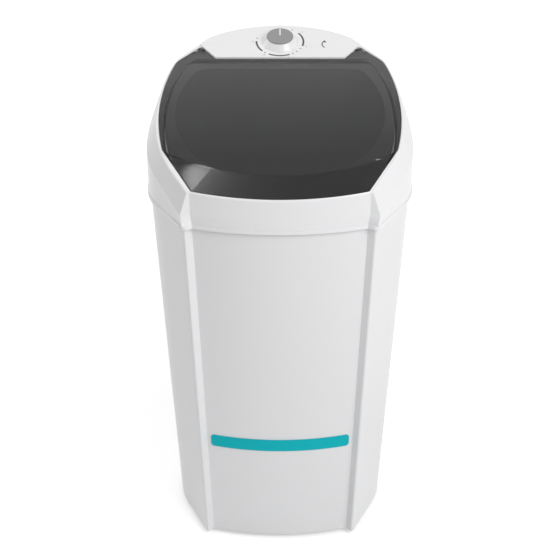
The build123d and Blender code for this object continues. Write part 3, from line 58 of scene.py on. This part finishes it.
# The lid's smoke, with painted light making it paler to the rear, and its satin visor darkened with painted
# shade
smoke_front_y = -0.12
smoke_rear_y = 0.1
# Painted light: the smoke's colour is paler at the rear than at the front
smoke_front = 0.12
smoke_rear_painted_light = 0.28
# Painted shade: the share of the smoke's colour left in the visor
visor_painted_shade = 0.4
window_roughness = 0.08
visor_satin = 0.17

# Moulded skins and turned metal
drift_scale = 7.0
skin_depth = 0.0002
ring_stretch = (30, 30, 2500)
ring_shade = 0.25
ring_shine = 0.15
ring_depth = 0.0001
sheet_scale = 300.0
sheet_height = 0.6
sheet_depth = 0.0004

# Printing on the console: radii from the knob's centre, angles in degrees from +X towards the rear
print_lift = 0.00012
arc_steps = 24
ring_radius = 0.049
ring_width = 0.0038
ring_arcs = ((178, 222), (242, 294), (342, 398))
tick_length = 0.005
tick_width = 0.0024
tick_angles = (166, 231, 303, 315, 330, 58)
number_radius = 0.0575
number_size = 0.0062
number_minutes = 3
number_gaps = 5
arrow_x = 0.1013
arrow_along = -0.0098
arrow_radius = 0.0138
arrow_width = 0.0022
arrow_start = 122
arrow_end = 233
arrow_steps = 16
arrow_head = [(-0.0125, 0.0095), (-0.004, 0.006), (-0.008, 0.0145)]
pointer_half_width = 0.0014
pointer_start = 0.002
pointer_end = 0.0245

# Studio and camera
machine_middle = (0, 0, 0.5)
floor_half_size = 6
floor_colour = (0.85, 0.85, 0.85, 1)
floor_roughness = 0.8
glow_near_reach = 0.4
glow_far_reach = 1.6
glow_near = 0.45
glow_far = 0.68
room_light = 0.42
backdrop_light = 1.0
sensor_width = 36
camera_lens = 70.7
camera_place = (0, -2.0464, 1.6413)
camera_pitch = 29


# Node helpers
def feed(tree, socket, value):
    """Links the socket to an output, or sets it to a plain value."""
    if isinstance(value, bpy.types.NodeSocket):
        tree.links.new(value, socket)
    else:
        socket.default_value = value


def add_node(tree, kind, **settings):
    """A node whose settings are its own choices, or values and outputs for its sockets."""
    node = tree.nodes.new(kind)
    for key, value in settings.items():
        if hasattr(node, key):
            setattr(node, key, value)
        else:
            feed(tree, node.inputs[key.replace("_", " ")], value)
    return node


def maths(tree, operation, *values):
    """The result of a sum on values and outputs."""
    node = add_node(tree, "ShaderNodeMath", operation=operation)
    for socket, value in zip(node.inputs, values):
        feed(tree, socket, value)
    return node.outputs[0]


def new_group(name, inputs):
    """A surface group with inputs as (name, kind, default), and colour, roughness and normal for outputs."""
    group = bpy.data.node_groups.new(name, "ShaderNodeTree")
    for label, kind, default in inputs:
        socket = group.interface.new_socket(label, in_out="INPUT", socket_type=kind)
        socket.default_value = default
    group.interface.new_socket("Color", in_out="OUTPUT", socket_type="NodeSocketColor")
    group.interface.new_socket("Roughness", in_out="OUTPUT", socket_type="NodeSocketFloat")
    group.interface.new_socket("Normal", in_out="OUTPUT", socket_type="NodeSocketVector")
    return group


def moulding_group():
    """Slow colour drift, uneven gloss and a fine skin for moulded, painted or cast surfaces."""
    group = new_group(
        "surface_skin",
        [("Color", "NodeSocketColor", (0.8, 0.8, 0.8, 1)), ("Drift", "NodeSocketFloat", 0.04),
         ("Roughness", "NodeSocketFloat", 0.35), ("Spread", "NodeSocketFloat", 0.06),
         ("Skin Scale", "NodeSocketFloat", 900.0), ("Skin Height", "NodeSocketFloat", 0.05)])
    source = group.nodes.new("NodeGroupInput").outputs
    target = group.nodes.new("NodeGroupOutput").inputs
    place = group.nodes.new("ShaderNodeTexCoord").outputs["Object"]
    slow = add_node(group, "ShaderNodeTexNoise", Vector=place, Scale=drift_scale, Detail=3.0)
    fine = add_node(group, "ShaderNodeTexNoise", Vector=place, Scale=source["Skin Scale"], Detail=2.0)

    centred = maths(group, "SUBTRACT", slow.outputs["Fac"], 0.5)
    swing = maths(group, "MULTIPLY", centred, source["Drift"])
    level = maths(group, "ADD", swing, 1.0)
    tint = add_node(group, "ShaderNodeVectorMath", operation="SCALE", Vector=source["Color"], Scale=level)
    shine = maths(group, "MULTIPLY_ADD", centred, source["Spread"], source["Roughness"])
    bump = add_node(group, "ShaderNodeBump", Distance=skin_depth, Strength=source["Skin Height"],
                    Height=fine.outputs["Fac"])
    feed(group, target["Color"], tint.outputs[0])
    feed(group, target["Roughness"], shine)
    feed(group, target["Normal"], bump.outputs["Normal"])
    return group


def turned_group():
    """Fine rings round an upright axis, as a lathe or a brush leaves them."""
    group = new_group(
        "turned_metal",
        [("Color", "NodeSocketColor", (0.6, 0.6, 0.6, 1)), ("Roughness", "NodeSocketFloat", 0.3),
         ("Ring Height", "NodeSocketFloat", 0.1)])
    source = group.nodes.new("NodeGroupInput").outputs
    target = group.nodes.new("NodeGroupOutput").inputs
    place = group.nodes.new("ShaderNodeTexCoord").outputs["Object"]
    stretch = add_node(group, "ShaderNodeMapping", Vector=place, Scale=ring_stretch)
    rings = add_node(group, "ShaderNodeTexNoise", Vector=stretch.outputs[0], Scale=1.0, Detail=2.0)

    # A Mix node holds its two colours in sockets 6 and 7, and the mixed colour in output 2
    mixed = add_node(group, "ShaderNodeMix", data_type="RGBA", blend_type="MULTIPLY", Factor=ring_shade)
    feed(group, mixed.inputs[6], source["Color"])
    feed(group, mixed.inputs[7], rings.outputs["Fac"])
    shine = maths(group, "MULTIPLY_ADD", rings.outputs["Fac"], ring_shine, source["Roughness"])
    bump = add_node(group, "ShaderNodeBump", Distance=ring_depth, Strength=source["Ring Height"],
                    Height=rings.outputs["Fac"])
    feed(group, target["Color"], mixed.outputs[2])
    feed(group, target["Roughness"], shine)
    feed(group, target["Normal"], bump.outputs["Normal"])
    return group


skin = moulding_group()
turned = turned_group()


# Materials
def new_material(name, group, settings, shader_values):
    """A material whose colour, roughness and normal come from a group, with the rest set on the shader."""
    material = bpy.data.materials.new(name)
    material.use_nodes = True
    tree = material.node_tree
    shader = tree.nodes["Principled BSDF"]
    effect = tree.nodes.new("ShaderNodeGroup")
    effect.node_tree = group
    for key, value in settings.items():
        effect.inputs[key].default_value = value
    for label, socket in (("Color", "Base Color"), ("Roughness", "Roughness"), ("Normal", "Normal")):
        tree.links.new(effect.outputs[label], shader.inputs[socket])
    for key, value in shader_values.items():
        shader.inputs[key.replace("_", " ")].default_value = value
    return material


def moulded(name, colour, roughness, drift=0.03, spread=0.06, scale=900.0, height=0.05, **shader_values):
    settings = {"Color": (*colour, 1), "Roughness": roughness, "Drift": drift, "Spread": spread,
                "Skin Scale": scale, "Skin Height": height}
    return new_material(name, skin, settings, shader_values)


def metal(name, colour, roughness, rings=0.1):
    settings = {"Color": (*colour, 1), "Roughness": roughness, "Ring Height": rings}
    return new_material(name, turned, settings, {"Metallic": 1.0})


def laminated(name, colour):
    """Stacked thin sheets, for the motor's cores."""
    material = moulded(name, colour, 0.45, Metallic=1.0)
    tree = material.node_tree
    place = tree.nodes.new("ShaderNodeTexCoord").outputs["Object"]
    sheets = add_node(tree, "ShaderNodeTexWave", wave_type="BANDS", bands_direction="Z", Vector=place,
                      Scale=sheet_scale)
    bump = add_node(tree, "ShaderNodeBump", Strength=sheet_height, Distance=sheet_depth,
                    Height=sheets.outputs["Fac"])
    feed(tree, tree.nodes["Principled BSDF"].inputs["Normal"], bump.outputs["Normal"])
    return material


def smoked(name):
    """See-through smoked plastic, with painted light making it paler to the rear, and painted shade darkening
    the satin visor in front of the crease.
    """
    material = moulded(name, (1, 1, 1), window_roughness, drift=0.03, spread=0.04, scale=400.0,
                       height=0.02, Transmission_Weight=1.0, IOR=1.42)
    tree = material.node_tree
    effect = next(node for node in tree.nodes if node.type == "GROUP")
    place = tree.nodes.new("ShaderNodeTexCoord").outputs["Object"]
    parts = add_node(tree, "ShaderNodeSeparateXYZ", Vector=place).outputs

    # How far a point lies in front of the bowed crease
    square = maths(tree, "MULTIPLY", parts["X"], parts["X"])
    bow = maths(tree, "MULTIPLY_ADD", square, 1 / (2 * crease_radius), crease_y)
    ahead = maths(tree, "SUBTRACT", bow, parts["Y"])
    visor = add_node(tree, "ShaderNodeMapRange", Value=ahead, From_Min=visor_start,
                     From_Max=visor_full).outputs[0]

    # Painted light: the colour grows paler towards the rear
    smoke_and_painted_light = add_node(tree, "ShaderNodeMapRange", Value=parts["Y"], From_Min=smoke_front_y,
                     From_Max=smoke_rear_y, To_Min=smoke_front, To_Max=smoke_rear_painted_light).outputs[0]
    # Painted shade: in front of the crease the colour drops to that share, darkening the visor
    clear = add_node(tree, "ShaderNodeMapRange", Value=visor, To_Min=1.0, To_Max=visor_painted_shade).outputs[0]
    feed(tree, effect.inputs["Color"], maths(tree, "MULTIPLY", smoke_and_painted_light, clear))
    feed(tree, effect.inputs["Roughness"],
         maths(tree, "MULTIPLY_ADD", visor, visor_satin, window_roughness))
    return material


materials = {
    "casing_white": moulded("casing_white", (0.76, 0.76, 0.77), 0.34, drift=0.012, height=0.03),
    "frame_white": moulded("frame_white", (0.79, 0.79, 0.8), 0.3, drift=0.01, height=0.03),
    "smoked_lid": smoked("smoked_lid"),
    "pin_black": moulded("pin_black", (0.02, 0.02, 0.02), 0.4),
    "console_white": moulded("console_white", (0.8, 0.8, 0.81), 0.28, drift=0.01, height=0.02),
    "knob_white": moulded("knob_white", (0.8, 0.8, 0.8), 0.25, drift=0.01, height=0.02),
    "knob_grey": moulded("knob_grey", (0.26, 0.26, 0.265), 0.38, drift=0.05),
    "strip_teal": moulded("strip_teal", (0.003, 0.45, 0.51), 0.35, drift=0.06, height=0.02,
                          Specular_IOR_Level=0.1),
    "rubber_black": moulded("rubber_black", (0.025, 0.025, 0.026), 0.75, scale=1800.0, height=0.25),
    "case_grey": moulded("case_grey", (0.28, 0.28, 0.29), 0.5, scale=1200.0, height=0.12),
    "steel": metal("steel", (0.62, 0.62, 0.62), 0.22),
    "zinc": metal("zinc", (0.66, 0.66, 0.69), 0.35, rings=0.05),
    "tub_white": moulded("tub_white", (0.74, 0.75, 0.75), 0.45, drift=0.03, height=0.08),
    "filter_grey": moulded("filter_grey", (0.5, 0.52, 0.53), 0.5, height=0.1),
    "pulsator_white": moulded("pulsator_white", (0.68, 0.7, 0.71), 0.42, drift=0.04, height=0.08),
    "cast_aluminium": moulded("cast_aluminium", (0.58, 0.58, 0.59), 0.45, drift=0.15, spread=0.2,
                              scale=500.0, height=0.35, Metallic=1.0),
    "bronze": moulded("bronze", (0.5, 0.3, 0.13), 0.4, drift=0.2, scale=1500.0, height=0.2, Metallic=1.0),
    "pulley_black": moulded("pulley_black", (0.03, 0.03, 0.032), 0.5, scale=1400.0, height=0.15),
    "belt_rubber": moulded("belt_rubber", (0.018, 0.018, 0.018), 0.8, scale=2500.0, height=0.4),
    "motor_paint": moulded("motor_paint", (0.04, 0.04, 0.044), 0.35, drift=0.1, height=0.1),
    "core_steel": laminated("core_steel", (0.3, 0.3, 0.31)),
    "fan_grey": moulded("fan_grey", (0.16, 0.16, 0.17), 0.5, height=0.12),
    "bracket_steel": moulded("bracket_steel", (0.55, 0.56, 0.58), 0.4, drift=0.35, spread=0.25,
                             scale=300.0, height=0.1, Metallic=1.0),
    "cable_grey": moulded("cable_grey", (0.14, 0.14, 0.15), 0.6, scale=1500.0, height=0.15),
    "clip_white": moulded("clip_white", (0.75, 0.75, 0.74), 0.45, height=0.08),
    "hose_grey": moulded("hose_grey", (0.24, 0.24, 0.25), 0.6, scale=1100.0, height=0.2),
    "outlet_black": moulded("outlet_black", (0.03, 0.03, 0.03), 0.45, height=0.12),
    "tray_black": moulded("tray_black", (0.04, 0.04, 0.042), 0.55, scale=700.0, height=0.2),
    "cover_white": moulded("cover_white", (0.74, 0.74, 0.75), 0.45, drift=0.02, scale=1100.0, height=0.12),
}
slots = {part["node"]: part["material_slot"] for part in frame["record"]["subparts"]}
for name, node in nodes.items():
    node.data.materials.clear()
    node.data.materials.append(materials[slots[name]])

ink_dark = moulded("ink_dark", (0.05, 0.05, 0.055), 0.5, drift=0.2)
ink_grey = moulded("ink_grey", (0.3, 0.3, 0.31), 0.5, drift=0.1)
pointer_white = moulded("pointer_white", (0.8, 0.8, 0.8), 0.4)


# Printing on the console
def on_console(x, along, lift=print_lift):
    """A point of the console's sloping top, from the knob's centre."""
    return Vector((x,
                   knob_y + along * cos(deck_slope) - lift * sin(deck_slope),
                   deck_height + console_rise + knob_y * tan(deck_slope) + along * sin(deck_slope)
                   + lift * cos(deck_slope)))


def printed(name, mesh, material, body):
    """Makes a thin printed piece of a mesh, riding on a body of the model."""
    data = bpy.data.meshes.new(name)
    mesh.to_mesh(data)
    mesh.free()
    data.materials.append(material)
    piece = bpy.data.objects.new(name, data)
    bpy.context.scene.collection.objects.link(piece)
    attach(piece, body)


def flat_piece(name, faces, material, body="machine", lift=print_lift):
    """Thin flat shapes on the console, each a list of (x, along) corners."""
    mesh = bmesh.new()
    for corners in faces:
        mesh.faces.new([mesh.verts.new(on_console(x, along, lift)) for x, along in corners])
    printed(name, mesh, material, body)


def arc_band(radius, width, start, end, steps):
    """The corners of each short stretch of a printed arc."""
    inner = radius - width / 2
    outer = radius + width / 2
    faces = []
    for step in range(steps):
        first = radians(start + (end - start) * step / steps)
        second = radians(start + (end - start) * (step + 1) / steps)
        faces.append([(inner * cos(first), inner * sin(first)), (outer * cos(first), outer * sin(first)),
                      (outer * cos(second), outer * sin(second)), (inner * cos(second), inner * sin(second))])
    return faces


def tick(angle):
    """The corners of a short mark across the dial's ring."""
    turn = radians(angle)
    along = Vector((cos(turn), sin(turn)))
    across = Vector((-sin(turn), cos(turn))) * tick_width / 2
    near = along * (ring_radius - tick_length / 2)
    far = along * (ring_radius + tick_length / 2)
    return [tuple(near - across), tuple(far - across), tuple(far + across), tuple(near + across)]


def shifted(faces, x, along):
    return [[(corner_x + x, corner_along + along) for corner_x, corner_along in face] for face in faces]


def number_outline(number, middle_x, middle_along):
    """The flat mesh of a printed number, set on the console round its middle."""
    face = bpy.data.curves.new("number", "FONT")
    face.body = str(number)
    face.size = number_size
    face.align_x = "CENTER"
    face.align_y = "CENTER"
    text = bpy.data.objects.new("number", face)
    outline = bpy.data.meshes.new_from_object(text)
    for vertex in outline.vertices:
        vertex.co = on_console(middle_x + vertex.co.x, middle_along + vertex.co.y)
    bpy.data.objects.remove(text)
    bpy.data.curves.remove(face)
    return outline


def dial_numbers():
    """Minutes round the dial, at equal shares of the knob's turn, clockwise from the rear."""
    numbers = bmesh.new()
    for step in range(number_gaps + 1):
        turn = radians(90 - knob_turn * step / number_gaps)
        outline = number_outline(number_minutes * step, number_radius * cos(turn), number_radius * sin(turn))
        numbers.from_mesh(outline)
        bpy.data.meshes.remove(outline)
    printed("dial_numbers", numbers, ink_grey, "machine")


ring = []
for start, end in ring_arcs:
    ring += arc_band(ring_radius, ring_width, start, end, arc_steps)
flat_piece("dial_ring", ring, ink_dark)
flat_piece("dial_ticks", [tick(angle) for angle in tick_angles], ink_grey)
dial_numbers()

# The arrow beside the dial shows the way that it turns
arrow = arc_band(arrow_radius, arrow_width, arrow_start, arrow_end, arrow_steps)
arrow.append(arrow_head)
flat_piece("turn_arrow", shifted(arrow, arrow_x, arrow_along), ink_dark)

pointer = [(-pointer_half_width, pointer_start), (pointer_half_width, pointer_start),
           (pointer_half_width, pointer_end), (-pointer_half_width, pointer_end)]
flat_piece("knob_pointer", [pointer], pointer_white, "timer_knob", knob_height + cap_height + print_lift)


# Studio
def area_light(name, place, target, size, power):
    data = bpy.data.lights.new(name, "AREA")
    data.shape = "RECTANGLE"
    data.size = size[0]
    data.size_y = size[1]
    data.energy = power
    lamp = bpy.data.objects.new(name, data)
    lamp.location = place
    lamp.rotation_euler = (Vector(target) - Vector(place)).to_track_quat("-Z", "Y").to_euler()
    bpy.context.scene.collection.objects.link(lamp)


def seen_directly(tree):
    """One where the camera, a reflection or a see-through piece looks at the surface, nought elsewhere."""
    path = tree.nodes.new("ShaderNodeLightPath").outputs
    reflected = maths(tree, "MAXIMUM", path["Is Camera Ray"], path["Is Glossy Ray"])
    return maths(tree, "MAXIMUM", reflected, path["Is Transmission Ray"])


def floor_material():
    """White that glows a little less near the machine, so that its shadow stays on the floor."""
    material = bpy.data.materials.new("floor_white")
    material.use_nodes = True
    tree = material.node_tree
    shader = tree.nodes["Principled BSDF"]
    shader.inputs["Base Color"].default_value = floor_colour
    shader.inputs["Roughness"].default_value = floor_roughness
    place = tree.nodes.new("ShaderNodeTexCoord").outputs["Object"]
    reach = add_node(tree, "ShaderNodeVectorMath", operation="LENGTH", Vector=place).outputs["Value"]
    whiteness = add_node(tree, "ShaderNodeMapRange", Value=reach, From_Min=glow_near_reach,
                         From_Max=glow_far_reach, To_Min=glow_near, To_Max=glow_far).outputs[0]
    strength = maths(tree, "MULTIPLY", seen_directly(tree), whiteness)
    glow = add_node(tree, "ShaderNodeEmission", Strength=strength)
    both = tree.nodes.new("ShaderNodeAddShader")
    feed(tree, both.inputs[0], shader.outputs[0])
    feed(tree, both.inputs[1], glow.outputs[0])
    feed(tree, tree.nodes["Material Output"].inputs["Surface"], both.outputs[0])
    return material


def pale_floor():
    mesh = bmesh.new()
    bmesh.ops.create_grid(mesh, x_segments=2, y_segments=2, size=floor_half_size)
    data = bpy.data.meshes.new("floor")
    mesh.to_mesh(data)
    mesh.free()
    data.materials.append(floor_material())
    floor = bpy.data.objects.new("floor", data)
    bpy.context.scene.collection.objects.link(floor)


def white_world():
    """A white backdrop that lights the machine less than it shows."""
    world = bpy.data.worlds.new("studio")
    bpy.context.scene.world = world
    world.use_nodes = True
    tree = world.node_tree
    background = tree.nodes["Background"]
    background.inputs["Color"].default_value = (1, 1, 1, 1)
    strength = add_node(tree, "ShaderNodeMapRange", Value=seen_directly(tree), To_Min=room_light,
                        To_Max=backdrop_light)
    feed(tree, background.inputs["Strength"], strength.outputs[0])


area_light("key", place=(1.75, -1.75, 2.5), target=machine_middle, size=(1.6, 1.6), power=52)
area_light("front_fill", place=(0.2, -3.2, 1.7), target=machine_middle, size=(1.8, 1.4), power=6)
area_light("top_left", place=(-0.68, 0.4, 2.67), target=(-0.15, -0.2, 0.83), size=(0.45, 0.45), power=8)
area_light("side_fill", place=(-2.6, 0.9, 2.0), target=(0, 0, 0.7), size=(1.2, 1.2), power=11)
pale_floor()
white_world()
bpy.context.scene.view_settings.view_transform = "Standard"

# The photograph's camera
camera_data = bpy.data.cameras.new("camera")
camera_data.sensor_width = sensor_width
camera_data.lens = camera_lens
camera = bpy.data.objects.new("camera", camera_data)
camera.location = camera_place
camera.rotation_euler = Euler((radians(90 - camera_pitch), 0, 0))
bpy.context.scene.collection.objects.link(camera)
bpy.context.scene.camera = camera
